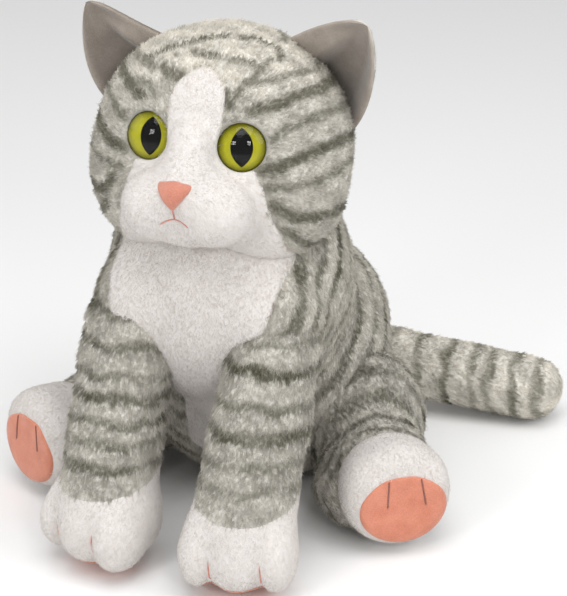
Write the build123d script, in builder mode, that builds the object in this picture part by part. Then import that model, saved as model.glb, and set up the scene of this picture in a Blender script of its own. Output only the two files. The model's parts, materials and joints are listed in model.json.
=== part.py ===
"""A seated plush tabby cat: fur panels sewn over fibre stuffing, with limbs, head, ears and tail that move.

Units are millimetres.  +Z is up, the cat faces -Y, and its left side is +X.
The origin is the centre of the flat seat under the rump, on the surface that the cat sits on.
Every skin is a sewn panel of SKIN thickness, and the stuffing fills the space inside it.
"""

import os
from math import asin, cos, degrees, radians, sin

from build123d import *

# ---------------------------------------------------------------- driving dimensions
SKIN = 2.5  # backing cloth with its short pile
GAP = 0.4  # clearance between two parts that move on each other
THREAD = 0.8  # how far embroidery stands proud of the cloth

RUMP = Vector(0, 0, 66)
RUMP_RADIUS = 75
CHEST = Vector(0, -50, 130)
CHEST_RADIUS = 68
PELLET_BAG = Vector(0, 14, 20)
PELLET_BAG_RADIUS = 25

HEAD = Vector(0, -58, 215)
HEAD_HALF_WIDTH = 72
HEAD_RADIUS = 66
FACE_RADIUS = 100  # the front of the head is flatter than the rest
FACE_FRONT = -54  # ahead of the middle of the head
COLLAR_RADIUS = 76  # outside of the ball-shaped neck collar
COLLAR_TOP = HEAD.Z - 52

MUZZLE = HEAD + Vector(0, -50, -18)
MUZZLE_HALF_WIDTH = 35
MUZZLE_RADIUS = 24.5

EYE_SPREAD = 25  # from the middle of the face to the middle of an eye
EYE_DEPTH = -44  # ahead of the middle of the head
EYE_HEIGHT = 13
EYE_YAW = 15  # each eye looks this many degrees outward
EYE_RADIUS = 12.3
EYE_EDGE = 1.2  # straight rim of the clear lens
EYE_DOME = 5.5
EYE_DISC = 1.6
PUPIL_DEPTH = 0.8
EYE_SHANK_RADIUS = 3.0
EYE_SHANK_LENGTH = 15
WASHER_RADIUS = 9.0
WASHER_THICKNESS = 1.4

EAR_THICKNESS = 2.0  # of each of the two layers
EAR_HEIGHT = 47
EAR_HALF_BASE = 31
EAR_CLEARANCE = 2.4  # between the ear's lower edge and the head

SHOULDER = Vector(41, -98, 118)
SHOULDER_RADIUS = 28.5
WRIST = Vector(42, -141, 37)
WRIST_RADIUS = 25.5
FORELEG_LIFT = 60  # degrees that a foreleg can be raised
PAW = Vector(41, -147, 28)
PAW_HALF_LENGTH = 33
PAW_RADIUS = 28.5

HIP = Vector(62, -14, 43)
HAUNCH_RADIUS = 40
LEG_RADIUS = 27.5
FOOT = Vector(102, -72, 31)
FOOT_RADIUS = 29
FOOT_THICKNESS = 38
FOOT_ROUNDING = 11
SOLE_YAW = 31  # the sole looks this many degrees outward
SOLE_PITCH = 6  # and this many upward
SOLE_HALF_WIDTH = 24
SOLE_HALF_HEIGHT = 19

TAIL_ROOT = Vector(0, 83, 33)
TAIL_ROOT_RADIUS = 14
TAIL_KNEE = Vector(50, 92, 29)
TAIL_KNEE_RADIUS = 20
TAIL_TIP = Vector(138, 98, 20.5)
TAIL_TIP_RADIUS = 19.5
TAIL_LIFT = 40  # the largest bend at the tail's knee, in degrees

SIDES = {"left": 1, "right": -1}

# ---------------------------------------------------------------- shared shapes


def on_side(point, sign):
    """The point for the cat's left side, or its mirror image for the right."""
    return Vector(point.X * sign, point.Y, point.Z)


def revolve_plane(start, direction, outward):
    """A plane for the profile of a round shape: its y runs along the shape, and the seam is outward."""
    across = (outward - direction * outward.dot(direction)).normalized()
    return Plane(origin=start, x_dir=across, z_dir=across.cross(direction))


def ball(centre, radius):
    """A ball whose seam faces away from the middle of the cat, or backward when it is on the middle."""
    seam = 90 if centre.X == 0 else 0 if centre.X > 0 else 180
    with BuildPart() as made:
        with Locations(centre):
            Sphere(radius, rotation=(0, 0, seam))
    return made.part


def stuffed_limb(start, start_radius, end, end_radius, outward):
    """A tapered round limb with a ball at each end."""
    along = end - start
    direction = along.normalized()
    slope = degrees(asin((start_radius - end_radius) / along.length))
    with BuildPart() as limb:
        with BuildSketch(revolve_plane(start, direction, outward)):
            with BuildLine():
                lower = CenterArc((0, 0), start_radius, -90, 90 + slope)
                upper = CenterArc((0, along.length), end_radius, slope, 90 - slope)
                Line(lower @ 1, upper @ 0)
                Line(upper @ 1, lower @ 0)
            make_face()
        revolve(axis=Axis(start, direction))
    return limb.part


def capsule(centre, direction, half_length, radius, outward):
    """A ball drawn out along a direction to the given half length."""
    reach = direction * (half_length - radius)
    return stuffed_limb(centre - reach, radius, centre + reach, radius, outward)


def everything_above(height):
    """A block for cutting soft shapes off flat where they rest."""
    with BuildPart() as made:
        with BuildSketch(Plane.XY.offset(height)):
            Rectangle(700, 700)
        extrude(amount=400)
    return made.part


def half_space(plane):
    """A block on the side of a plane that its normal points to."""
    with BuildPart() as made:
        with BuildSketch(plane):
            Rectangle(160, 160)
        extrude(amount=120)
    return made.part


def panel_cutter(plane, outline):
    """A closed smooth outline extruded along the plane's normal, for cutting a panel out of a skin."""
    with BuildPart() as made:
        with BuildSketch(plane):
            with BuildLine():
                Spline(*outline, periodic=True)
            make_face()
        extrude(amount=120)
    return made.part


def save(piece, name):
    """Labels a finished piece and writes its file."""
    piece.part.label = name
    export_step(piece.part, os.path.join("parts", name + ".step"))
    print(f"{name:28s} {len(piece.part.solids())} solid(s) {piece.part.volume / 1000:9.2f} cm3")


os.makedirs("parts", exist_ok=True)

# ---------------------------------------------------------------- torso


def foreleg_recess(sign, inset, lift):
    """The dent in the chest and belly that a foreleg sits in when it is lifted by that many degrees."""
    top = on_side(SHOULDER, sign)
    bottom = top + (on_side(WRIST, sign) - top).rotate(Axis.X, -lift)
    clearance = 1.5 + inset - lift / 150
    return stuffed_limb(
        top, SHOULDER_RADIUS + clearance, bottom, WRIST_RADIUS + clearance, Vector(sign, 0, 0)
    )


def torso_volume(inset):
    """The pear-shaped torso inside a skin of that thickness, with its sockets for head, limbs and tail."""
    with BuildPart() as volume:
        add(stuffed_limb(RUMP, RUMP_RADIUS - inset, CHEST, CHEST_RADIUS - inset, Vector(0, -1, -1)))
        add(ball(HEAD, COLLAR_RADIUS + GAP + inset), mode=Mode.SUBTRACT)
        add(ball(TAIL_ROOT, TAIL_ROOT_RADIUS + 1 + inset), mode=Mode.SUBTRACT)
        for sign in SIDES.values():
            add(ball(on_side(HIP, sign), HAUNCH_RADIUS + 1 + inset), mode=Mode.SUBTRACT)
            for lift in (0, FORELEG_LIFT / 2, FORELEG_LIFT):
                add(foreleg_recess(sign, inset, lift), mode=Mode.SUBTRACT)
        add(everything_above(inset), mode=Mode.INTERSECT)
    return volume.part


torso_outer = torso_volume(0)
torso_inner = torso_volume(SKIN)
in_front_of_chest = Plane(origin=(0, CHEST.Y, 0), x_dir=(1, 0, 0), z_dir=(0, -1, 0))
bib_outline = [(0, 84), (24, 104), (46, 134), (64, 176), (0, 194), (-64, 176), (-46, 134), (-24, 104)]
bib = panel_cutter(in_front_of_chest, bib_outline)

with BuildPart() as torso_shell:
    add(torso_outer)
    add(torso_inner, mode=Mode.SUBTRACT)
    add(bib, mode=Mode.SUBTRACT)
save(torso_shell, "torso_shell")

with BuildPart() as chest_panel:
    add(torso_outer)
    add(torso_inner, mode=Mode.SUBTRACT)
    add(bib, mode=Mode.INTERSECT)
save(chest_panel, "chest_panel")

with BuildPart() as pellet_bag:
    add(ball(PELLET_BAG, PELLET_BAG_RADIUS))
    add(everything_above(SKIN), mode=Mode.INTERSECT)
save(pellet_bag, "pellet_bag")

with BuildPart() as torso_stuffing:
    add(torso_inner)
    add(pellet_bag.part, mode=Mode.SUBTRACT)
save(torso_stuffing, "torso_stuffing")

# The hand-sewn ladder stitches that close the back once the stuffing is in.
STITCHES = 9
STITCH_PITCH = 5.5
LOWEST_STITCH = 82

with BuildPart() as stitch_bars:
    with BuildSketch(in_front_of_chest):
        with Locations((0, LOWEST_STITCH + STITCH_PITCH * (STITCHES - 1) / 2)):
            with GridLocations(0, STITCH_PITCH, 1, STITCHES):
                SlotOverall(7, 1.2)
    extrude(amount=-160)

with BuildPart() as closing_seam:
    proud_radius = CHEST_RADIUS + THREAD
    add(stuffed_limb(RUMP, RUMP_RADIUS + THREAD, CHEST, proud_radius, Vector(0, -1, -1)))
    add(stuffed_limb(RUMP, RUMP_RADIUS, CHEST, CHEST_RADIUS, Vector(0, -1, -1)), mode=Mode.SUBTRACT)
    add(stitch_bars.part, mode=Mode.INTERSECT)
save(closing_seam, "closing_seam")

# ---------------------------------------------------------------- neck
# A ball-shaped collar: it turns in the torso about a vertical axis, and the head nods in it.

with BuildPart() as neck_collar:
    add(ball(HEAD, COLLAR_RADIUS))
    add(
        capsule(HEAD, Vector(1, 0, 0), HEAD_HALF_WIDTH + GAP, HEAD_RADIUS + GAP, Vector(0, 1, 0)),
        mode=Mode.SUBTRACT,
    )
    add(everything_above(COLLAR_TOP), mode=Mode.SUBTRACT)
save(neck_collar, "neck_collar")

# ---------------------------------------------------------------- head


def head_volume(inset):
    """The head inside a skin of that thickness: a wide ball with a flatter face."""
    width = HEAD_HALF_WIDTH - inset
    with BuildPart() as volume:
        add(capsule(HEAD, Vector(1, 0, 0), width, HEAD_RADIUS - inset, Vector(0, 1, 0)))
        add(ball(HEAD + Vector(0, FACE_FRONT + FACE_RADIUS, 0), FACE_RADIUS - inset), mode=Mode.INTERSECT)
    return volume.part


def muzzle_volume(inset):
    """The rounded muzzle under the nose, which is sewn on the front of the head."""
    width = MUZZLE_HALF_WIDTH - inset
    return capsule(MUZZLE, Vector(1, 0, 0), width, MUZZLE_RADIUS - inset, Vector(0, 1, 0))


def eye_plane(sign):
    """The plane of an eye's flange, looking outward along the eye's axis."""
    yaw = radians(EYE_YAW)
    centre = HEAD + Vector(sign * EYE_SPREAD, EYE_DEPTH, EYE_HEIGHT)
    return Plane(origin=centre, x_dir=(cos(yaw), sign * sin(yaw), 0), z_dir=(sign * sin(yaw), -cos(yaw), 0))


def eye_cylinder(sign, radius, low, high):
    """A cylinder on an eye's axis, between two distances from the flange."""
    with BuildPart() as made:
        with BuildSketch(eye_plane(sign).offset(low)):
            Circle(radius)
        extrude(amount=high - low)
    return made.part


# Behind each eye the skin dips into a cup, with a hole for the shank and the washer behind it.
POCKET_FLOOR = -EYE_DISC - GAP
CUP_FLOOR = POCKET_FLOOR - SKIN
in_front_of_face = Plane(origin=HEAD, x_dir=(1, 0, 0), z_dir=(0, -1, 0))
blaze_outline = [(0, 38), (9, 28), (12, 12), (9, -2), (0, -8), (-9, -2), (-12, 12), (-9, 28)]
blaze = panel_cutter(in_front_of_face, blaze_outline)
jaw_outline = [(0, -16), (30, -14), (45, -30), (38, -52), (0, -64), (-38, -52), (-45, -30), (-30, -14)]
jaw = panel_cutter(in_front_of_face, jaw_outline)

with BuildPart() as eye_cups:
    for sign in SIDES.values():
        add(eye_cylinder(sign, EYE_RADIUS + SKIN, CUP_FLOOR, 30))
    add(head_volume(0), mode=Mode.INTERSECT)

with BuildPart() as head_skin:
    add(head_volume(0))
    add(head_volume(SKIN), mode=Mode.SUBTRACT)
    add(eye_cups.part)
    for sign in SIDES.values():
        add(eye_cylinder(sign, EYE_RADIUS + GAP, POCKET_FLOOR, 30), mode=Mode.SUBTRACT)
        add(eye_cylinder(sign, EYE_SHANK_RADIUS + 0.2, -30, 0), mode=Mode.SUBTRACT)

with BuildPart() as head_shell:
    add(head_skin.part)
    add(blaze, mode=Mode.SUBTRACT)
    add(jaw, mode=Mode.SUBTRACT)
save(head_shell, "head_shell")

with BuildPart() as face_blaze:
    add(head_skin.part)
    add(blaze, mode=Mode.INTERSECT)
    add(jaw, mode=Mode.SUBTRACT)
save(face_blaze, "face_blaze")

with BuildPart() as jaw_panel:
    add(head_skin.part)
    add(jaw, mode=Mode.INTERSECT)
save(jaw_panel, "jaw_panel")

with BuildPart() as head_stuffing:
    add(head_volume(SKIN))
    for sign in SIDES.values():
        add(eye_cylinder(sign, EYE_RADIUS + SKIN, CUP_FLOOR, 30), mode=Mode.SUBTRACT)
        add(
            eye_cylinder(sign, EYE_SHANK_RADIUS + 0.2, -EYE_DISC - EYE_SHANK_LENGTH - GAP, 0),
            mode=Mode.SUBTRACT,
        )
        add(
            eye_cylinder(sign, WASHER_RADIUS, CUP_FLOOR - WASHER_THICKNESS, CUP_FLOOR),
            mode=Mode.SUBTRACT,
        )
save(head_stuffing, "head_stuffing")

with BuildPart() as muzzle_shell:
    add(muzzle_volume(0))
    add(muzzle_volume(SKIN), mode=Mode.SUBTRACT)
    add(head_volume(0), mode=Mode.SUBTRACT)
    for sign in SIDES.values():
        add(eye_cylinder(sign, EYE_RADIUS + GAP, POCKET_FLOOR, 30), mode=Mode.SUBTRACT)
save(muzzle_shell, "muzzle_shell")

with BuildPart() as muzzle_stuffing:
    add(muzzle_volume(SKIN))
    add(head_volume(0), mode=Mode.SUBTRACT)
    for sign in SIDES.values():
        add(eye_cylinder(sign, EYE_RADIUS + GAP + SKIN, POCKET_FLOOR, 30), mode=Mode.SUBTRACT)
save(muzzle_stuffing, "muzzle_stuffing")

# ---------------------------------------------------------------- nose and mouth
# An embroidered nose and the thread line of the mouth, both standing proud of the muzzle.

in_front_of_muzzle = Plane(origin=MUZZLE, x_dir=(1, 0, 0), z_dir=(0, -1, 0))

with BuildPart() as nose_cutter:
    with BuildSketch(in_front_of_muzzle):
        with BuildLine():
            FilletPolyline((9.5, 18), (-9.5, 18), (0, 3.5), radius=2.2, close=True)
        make_face()
    extrude(amount=60)

with BuildPart() as mouth_cutter:
    with BuildSketch(in_front_of_muzzle):
        with BuildLine() as mouth_line:
            Line((0, 3), (0, -5.5))
            ThreePointArc((0, -5.5), (5, -7.5), (9, -11.5))
            ThreePointArc((0, -5.5), (-5, -7.5), (-9, -11.5))
        trace(mouth_line.line, line_width=1.3)
    extrude(amount=60)

with BuildPart() as nose:
    add(muzzle_volume(-THREAD))
    add(muzzle_volume(0), mode=Mode.SUBTRACT)
    add(nose_cutter.part, mode=Mode.INTERSECT)
save(nose, "nose")

with BuildPart() as mouth_stitching:
    add(muzzle_volume(-THREAD))
    add(muzzle_volume(0), mode=Mode.SUBTRACT)
    add(mouth_cutter.part, mode=Mode.INTERSECT)
    add(nose_cutter.part, mode=Mode.SUBTRACT)
save(mouth_stitching, "mouth_stitching")

# ---------------------------------------------------------------- eyes
# Safety eyes: a clear dome over a painted iris and pupil, a ringed shank and a lock washer.


def make_eye(side, sign):
    flange = eye_plane(sign)
    dome_radius = (EYE_RADIUS**2 + EYE_DOME**2) / (2 * EYE_DOME)

    dome_centre = EYE_EDGE + EYE_DOME - dome_radius
    half_way = asin(EYE_RADIUS / dome_radius) / 2

    with BuildPart() as lens:
        with BuildSketch(revolve_plane(flange.origin, flange.z_dir, Vector(0, 0, 1))):
            with BuildLine():
                rim = Polyline((0, EYE_EDGE + EYE_DOME), (0, 0), (EYE_RADIUS, 0), (EYE_RADIUS, EYE_EDGE))
                crown = (dome_radius * sin(half_way), dome_centre + dome_radius * cos(half_way))
                ThreePointArc(rim @ 1, crown, rim @ 0)
            make_face()
        revolve(axis=Axis(flange.origin, flange.z_dir))
    save(lens, f"{side}_eye_lens")

    with BuildPart() as pupil:
        with BuildSketch(flange.offset(-PUPIL_DEPTH)):
            with BuildLine():
                ThreePointArc((0, 9), (5.6, 0), (0, -9))
                ThreePointArc((0, -9), (-5.6, 0), (0, 9))
            make_face()
        extrude(amount=PUPIL_DEPTH)
    save(pupil, f"{side}_eye_pupil")

    with BuildPart() as iris:
        with BuildSketch(flange.offset(-EYE_DISC)):
            Circle(EYE_RADIUS)
        extrude(amount=EYE_DISC)
        add(pupil.part, mode=Mode.SUBTRACT)
    save(iris, f"{side}_eye_iris")

    with BuildPart() as shank:
        with BuildSketch(flange.offset(-EYE_DISC - EYE_SHANK_LENGTH)):
            Circle(EYE_SHANK_RADIUS)
        extrude(amount=EYE_SHANK_LENGTH)
        for ring in range(4):
            with BuildSketch(flange.offset(-EYE_DISC - 6.5 - 2 * ring)):
                Circle(EYE_SHANK_RADIUS)
                Circle(EYE_SHANK_RADIUS - 0.4, mode=Mode.SUBTRACT)
            extrude(amount=-0.8, mode=Mode.SUBTRACT)
    save(shank, f"{side}_eye_shank")

    with BuildPart() as washer:
        with BuildSketch(flange.offset(CUP_FLOOR - WASHER_THICKNESS)):
            Circle(WASHER_RADIUS)
            Circle(EYE_SHANK_RADIUS + 0.05, mode=Mode.SUBTRACT)
        extrude(amount=WASHER_THICKNESS)
    save(washer, f"{side}_eye_washer")


# ---------------------------------------------------------------- ears
# Two layers of cloth cut to a rounded triangle, which fold about the base.


def ear_plane(sign):
    """The plane of an ear: its x runs up along the base, its y to the tip."""
    lower_corner = HEAD + Vector(sign * 69, 16, 12)
    upper_corner = HEAD + Vector(sign * 30, 14, 58)
    tip = HEAD + Vector(sign * 75, -4, 66)
    middle = (lower_corner + upper_corner) / 2
    base = (upper_corner - lower_corner).normalized()
    return Plane(origin=middle, x_dir=base, z_dir=base.cross(tip - middle))


def make_ear(side, sign):
    front = -sign  # the plane's normal looks backward on the cat's left and forward on its right

    def layer_sketch_plane(behind):
        return ear_plane(sign).offset(front * -behind)

    for layer, behind in (("lining", 0), ("back", EAR_THICKNESS)):
        with BuildPart() as cloth:
            with BuildSketch(layer_sketch_plane(behind)):
                with BuildLine():
                    base = Line((-EAR_HALF_BASE, -2), (EAR_HALF_BASE, -2))
                    FilletPolyline(
                        base @ 1, (20, 24), (3, EAR_HEIGHT), (-20, 24), base @ 0, radius=(24, 7, 24)
                    )
                make_face()
            extrude(amount=front * -EAR_THICKNESS)
            add(head_volume(-EAR_CLEARANCE), mode=Mode.SUBTRACT)
        save(cloth, f"{side}_ear_{layer}")


# ---------------------------------------------------------------- forelegs


def foreleg_volume(sign, inset):
    """A foreleg inside a skin of that thickness, from the shoulder's ball to the paw."""
    outward = Vector(sign, 0, 0)
    with BuildPart() as volume:
        add(
            stuffed_limb(
                on_side(SHOULDER, sign),
                SHOULDER_RADIUS - inset,
                on_side(WRIST, sign),
                WRIST_RADIUS - inset,
                outward,
            )
        )
        add(capsule(on_side(PAW, sign), Vector(0, 1, 0), PAW_HALF_LENGTH - inset, PAW_RADIUS - inset, outward))
        add(everything_above(inset), mode=Mode.INTERSECT)
    return volume.part


def make_foreleg(side, sign):
    outer = foreleg_volume(sign, 0)
    inner = foreleg_volume(sign, SKIN)
    shin = (on_side(WRIST, sign) - on_side(SHOULDER, sign)).normalized()
    beyond_cuff = half_space(Plane(origin=on_side(WRIST, sign) - shin * 7, z_dir=shin))

    with BuildPart() as pad_cutter:
        with BuildSketch(Plane.XY.offset(-1)):
            with Locations((sign * PAW.X, PAW.Y - 2)):
                Ellipse(17, 21)
        extrude(amount=SKIN + 8)

    with BuildPart() as toe_cutter:
        with BuildSketch(Plane.XY.offset(8)):
            with Locations((sign * PAW.X, PAW.Y - 22)):
                with GridLocations(20, 0, 2, 1):
                    Rectangle(1.2, 32)
        extrude(amount=26)

    with BuildPart() as sleeve:
        add(outer)
        add(inner, mode=Mode.SUBTRACT)
        add(beyond_cuff, mode=Mode.SUBTRACT)
    save(sleeve, f"{side}_foreleg_sleeve")

    with BuildPart() as forepaw:
        add(outer)
        add(inner, mode=Mode.SUBTRACT)
        add(beyond_cuff, mode=Mode.INTERSECT)
        add(pad_cutter.part, mode=Mode.SUBTRACT)
    save(forepaw, f"{side}_forepaw")

    with BuildPart() as forepaw_pad:
        add(outer)
        add(inner, mode=Mode.SUBTRACT)
        add(pad_cutter.part, mode=Mode.INTERSECT)
    save(forepaw_pad, f"{side}_forepaw_pad")

    with BuildPart() as stuffing:
        add(inner)
    save(stuffing, f"{side}_foreleg_stuffing")

    with BuildPart() as toe_stitches:
        add(foreleg_volume(sign, -THREAD))
        add(outer, mode=Mode.SUBTRACT)
        add(toe_cutter.part, mode=Mode.INTERSECT)
    save(toe_stitches, f"{side}_forepaw_stitching")


# ---------------------------------------------------------------- hind legs


def sole_plane(sign):
    """Through the middle of a hind foot, looking out through its sole."""
    yaw = radians(SOLE_YAW)
    pitch = radians(SOLE_PITCH)
    normal = Vector(sign * sin(yaw) * cos(pitch), -cos(yaw) * cos(pitch), sin(pitch))
    return Plane(origin=on_side(FOOT, sign), x_dir=(cos(yaw), sign * sin(yaw), 0), z_dir=normal)


def hindleg_volume(sign, inset):
    """A hind leg inside a skin of that thickness: haunch, leg and foot."""
    outward = Vector(sign, 0, 0)
    radius = LEG_RADIUS - inset
    with BuildPart() as volume:
        with BuildSketch(sole_plane(sign).offset(inset - FOOT_THICKNESS / 2)):
            Circle(FOOT_RADIUS - inset)
        extrude(amount=FOOT_THICKNESS - 2 * inset)
        fillet(volume.edges().filter_by(GeomType.CIRCLE), FOOT_ROUNDING - inset)
        add(stuffed_limb(on_side(HIP, sign), radius, on_side(FOOT, sign), radius, outward))
        add(ball(on_side(HIP, sign), HAUNCH_RADIUS - inset))
        add(everything_above(inset), mode=Mode.INTERSECT)
    return volume.part


def make_hindleg(side, sign):
    outer = hindleg_volume(sign, 0)
    inner = hindleg_volume(sign, SKIN)
    sole = sole_plane(sign)
    beyond_ankle = half_space(sole.offset(-8))

    with BuildPart() as sole_cutter:
        with BuildSketch(sole.offset(5)):
            Ellipse(SOLE_HALF_WIDTH, SOLE_HALF_HEIGHT)
        extrude(amount=60)

    with BuildPart() as toe_cutter:
        with BuildSketch(sole.offset(4)):
            with Locations((0, 26)):
                with GridLocations(19, 0, 2, 1):
                    Rectangle(1.2, 24)
        extrude(amount=40)

    with BuildPart() as sleeve:
        add(outer)
        add(inner, mode=Mode.SUBTRACT)
        add(beyond_ankle, mode=Mode.SUBTRACT)
    save(sleeve, f"{side}_hindleg_sleeve")

    with BuildPart() as hind_foot:
        add(outer)
        add(inner, mode=Mode.SUBTRACT)
        add(beyond_ankle, mode=Mode.INTERSECT)
        add(sole_cutter.part, mode=Mode.SUBTRACT)
    save(hind_foot, f"{side}_hind_foot")

    with BuildPart() as sole_pad:
        add(outer)
        add(inner, mode=Mode.SUBTRACT)
        add(sole_cutter.part, mode=Mode.INTERSECT)
    save(sole_pad, f"{side}_sole_pad")

    with BuildPart() as stuffing:
        add(inner)
    save(stuffing, f"{side}_hindleg_stuffing")

    with BuildPart() as toe_stitches:
        add(hindleg_volume(sign, -THREAD))
        add(outer, mode=Mode.SUBTRACT)
        add(toe_cutter.part, mode=Mode.INTERSECT)
    save(toe_stitches, f"{side}_hind_foot_stitching")


for side, sign in SIDES.items():
    make_eye(side, sign)
    make_ear(side, sign)
    make_foreleg(side, sign)
    make_hindleg(side, sign)

# ---------------------------------------------------------------- tail
# Two lengths of one tail: the outer one starts in a ball that bends in the inner one's cup.

tail_outward = (TAIL_TIP - TAIL_KNEE).normalized()
cup_rim = TAIL_KNEE - tail_outward * (TAIL_KNEE_RADIUS * sin(radians(TAIL_LIFT)) + 1)
beyond_cup = half_space(Plane(origin=cup_rim, z_dir=tail_outward))


def tail_base_volume(inset):
    """The inner length of the tail, up to the rim of the cup for the knee's ball."""
    root_radius = TAIL_ROOT_RADIUS - inset
    with BuildPart() as volume:
        add(stuffed_limb(TAIL_ROOT, root_radius, TAIL_KNEE, TAIL_KNEE_RADIUS - inset, Vector(0, 1, 0)))
        add(ball(TAIL_KNEE, TAIL_KNEE_RADIUS + GAP + inset), mode=Mode.SUBTRACT)
        add(beyond_cup, mode=Mode.SUBTRACT)
    return volume.part


def tail_tip_volume(inset):
    """The outer length of the tail, from the knee's ball to the tip."""
    tip_radius = TAIL_TIP_RADIUS - inset
    return stuffed_limb(TAIL_KNEE, TAIL_KNEE_RADIUS - inset, TAIL_TIP, tip_radius, Vector(0, 1, 0))


with BuildPart() as tail_base_stuffing:
    add(tail_base_volume(SKIN))
save(tail_base_stuffing, "tail_base_stuffing")

with BuildPart() as tail_base_sleeve:
    add(tail_base_volume(0))
    add(tail_base_stuffing.part, mode=Mode.SUBTRACT)
save(tail_base_sleeve, "tail_base_sleeve")

with BuildPart() as tail_tip_stuffing:
    add(tail_tip_volume(SKIN))
save(tail_tip_stuffing, "tail_tip_stuffing")

with BuildPart() as tail_tip_sleeve:
    add(tail_tip_volume(0))
    add(tail_tip_stuffing.part, mode=Mode.SUBTRACT)
save(tail_tip_sleeve, "tail_tip_sleeve")
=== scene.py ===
"""A seated plush tabby cat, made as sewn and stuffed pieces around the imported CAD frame.

Every soft piece is a closed form: a smooth solid of blended shapes, meshed and then raised into
small tufts that lie along the pile.  The same tufts gather the hairs that grow on it.
Lengths here are millimetres, in the frame's own axes: +Z up, the cat faces -Y, its left is +X.
"""

import json
import math

import bpy
import numpy as np
import openvdb
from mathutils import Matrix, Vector


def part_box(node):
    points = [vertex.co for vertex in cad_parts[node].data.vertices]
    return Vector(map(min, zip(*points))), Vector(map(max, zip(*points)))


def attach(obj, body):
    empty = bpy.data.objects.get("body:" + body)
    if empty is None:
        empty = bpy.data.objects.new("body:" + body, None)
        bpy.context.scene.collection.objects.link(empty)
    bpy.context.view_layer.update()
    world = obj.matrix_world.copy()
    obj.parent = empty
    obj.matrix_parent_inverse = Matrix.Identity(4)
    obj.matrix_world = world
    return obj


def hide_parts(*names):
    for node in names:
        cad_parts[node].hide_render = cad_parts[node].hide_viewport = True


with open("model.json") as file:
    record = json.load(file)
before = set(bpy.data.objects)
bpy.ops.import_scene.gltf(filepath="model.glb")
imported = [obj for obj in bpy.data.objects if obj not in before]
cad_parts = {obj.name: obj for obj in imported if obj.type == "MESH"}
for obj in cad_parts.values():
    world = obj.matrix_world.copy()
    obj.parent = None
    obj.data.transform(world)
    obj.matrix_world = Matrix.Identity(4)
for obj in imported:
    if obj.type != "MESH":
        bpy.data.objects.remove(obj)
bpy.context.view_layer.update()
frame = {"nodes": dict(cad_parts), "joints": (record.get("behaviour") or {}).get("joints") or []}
FAR = 1e9  # further than anything here

SIDES = {"left": 1, "right": -1}
FINE = 1.0  # share of the hairs that are grown


# ---------------------------------------------------------------- places, from the frame
def pivot(joint_name):
    """Where a joint turns, in millimetres."""
    return np.array(next(j["pos_m"] for j in frame["joints"] if j["name"] == joint_name)) * 1000


def span(node):
    """Lowest and highest corner of a CAD node, in millimetres."""
    low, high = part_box(node)
    return np.array(low) * 1000, np.array(high) * 1000


def middle(node):
    low, high = span(node)
    return (low + high) / 2


def unit(v):
    v = np.asarray(v, float)
    return v / np.maximum(np.linalg.norm(v, axis=-1, keepdims=True), 1e-9)


def heading(yaw, pitch):
    """The direction that is yaw round from straight ahead, to the cat's left, and pitch up, in radians."""
    return np.array([math.sin(yaw) * math.cos(pitch), -math.cos(yaw) * math.cos(pitch), math.sin(pitch)])


HEAD = pivot("head_nod")
MUZZLE = middle("muzzle_shell")
RUMP = np.array([0.0, 0.0, 66.0])
RUMP_RADIUS = 73.0
CHEST = HEAD + (0, 8, -83)
CHEST_RADIUS = 66.8
SHOULDER = {"left": pivot("left_foreleg_swing") + (1, 0, 0), "right": pivot("right_foreleg_swing") + (2.5, 0, 0)}
PAW = {"left": np.array([40.0, -147, 26]), "right": np.array([-37.5, -145, 26.5])}
PAW_TURN = {"left": math.radians(10), "right": math.radians(24)}  # toes turned outward
WRIST = {s: PAW[s] + (0, 5, 12) for s in SIDES}
HIP = {s: pivot(s + "_hindleg_splay") for s in SIDES}
SOLE_YAW, SOLE_PITCH = math.radians(31), math.radians(6)
TAIL_ROOT, TAIL_KNEE = pivot("tail_swing"), pivot("tail_bend")
TAIL_TIP = span("tail_tip_sleeve")[1] * (1, 0, 0) + (-19.5, TAIL_KNEE[1] + 6, 20.5)


# ---------------------------------------------------------------- solid shapes, as distance fields
def ball(p, centre, radius):
    return np.sqrt(sum((p[i] - centre[i]) ** 2 for i in range(3))) - radius


def egg(p, centre, radii):
    q = [(p[i] - centre[i]) / radii[i] for i in range(3)]
    size = np.sqrt(q[0] ** 2 + q[1] ** 2 + q[2] ** 2)
    slope = np.sqrt(sum((q[i] / radii[i]) ** 2 for i in range(3)))
    return size * (size - 1) / np.maximum(slope, 1e-6)


def limb(p, start, end, start_radius, end_radius):
    axis = np.asarray(end, float) - start
    t = sum((p[i] - start[i]) * axis[i] for i in range(3)) / (axis @ axis)
    t = np.clip(t, 0, 1)
    gap = np.sqrt(sum((p[i] - start[i] - t * axis[i]) ** 2 for i in range(3)))
    return gap - (start_radius + (end_radius - start_radius) * t)


def join(a, b, blend):
    h = np.clip(0.5 + 0.5 * (b - a) / blend, 0, 1)
    return b + (a - b) * h - blend * h * (1 - h)


def both(a, b, blend):
    return -join(-a, -b, blend)


def cut(a, b, blend):
    return -join(-a, b, blend)


def lumps(p, seed, size, height):
    """The slow unevenness of stuffing, or of anything else, over a distance of size."""
    rng = np.random.default_rng(seed)
    total = 0.0
    for _ in range(6):
        k = rng.normal(size=3)
        k *= 2 * math.pi / (size * rng.uniform(0.75, 1.5)) / np.linalg.norm(k)
        total = total + np.sin(k[0] * p[0] + k[1] * p[1] + k[2] * p[2] + rng.uniform(0, 6.28))
    return total * (height / 3)


def smooth(low, high, x):
    t = np.clip((x - low) / (high - low), 0, 1)
    return t * t * (3 - 2 * t)


def columns(points):
    return points[:, 0], points[:, 1], points[:, 2]


def slope_of(shape, points, reach=0.35):
    """The outward direction of a shape at each point, and its distance there."""
    grad = np.empty_like(points)
    for i in range(3):
        shift = np.zeros(3)
        shift[i] = reach
        grad[:, i] = shape(columns(points + shift)) - shape(columns(points - shift))
    return unit(grad), shape(columns(points))


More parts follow.
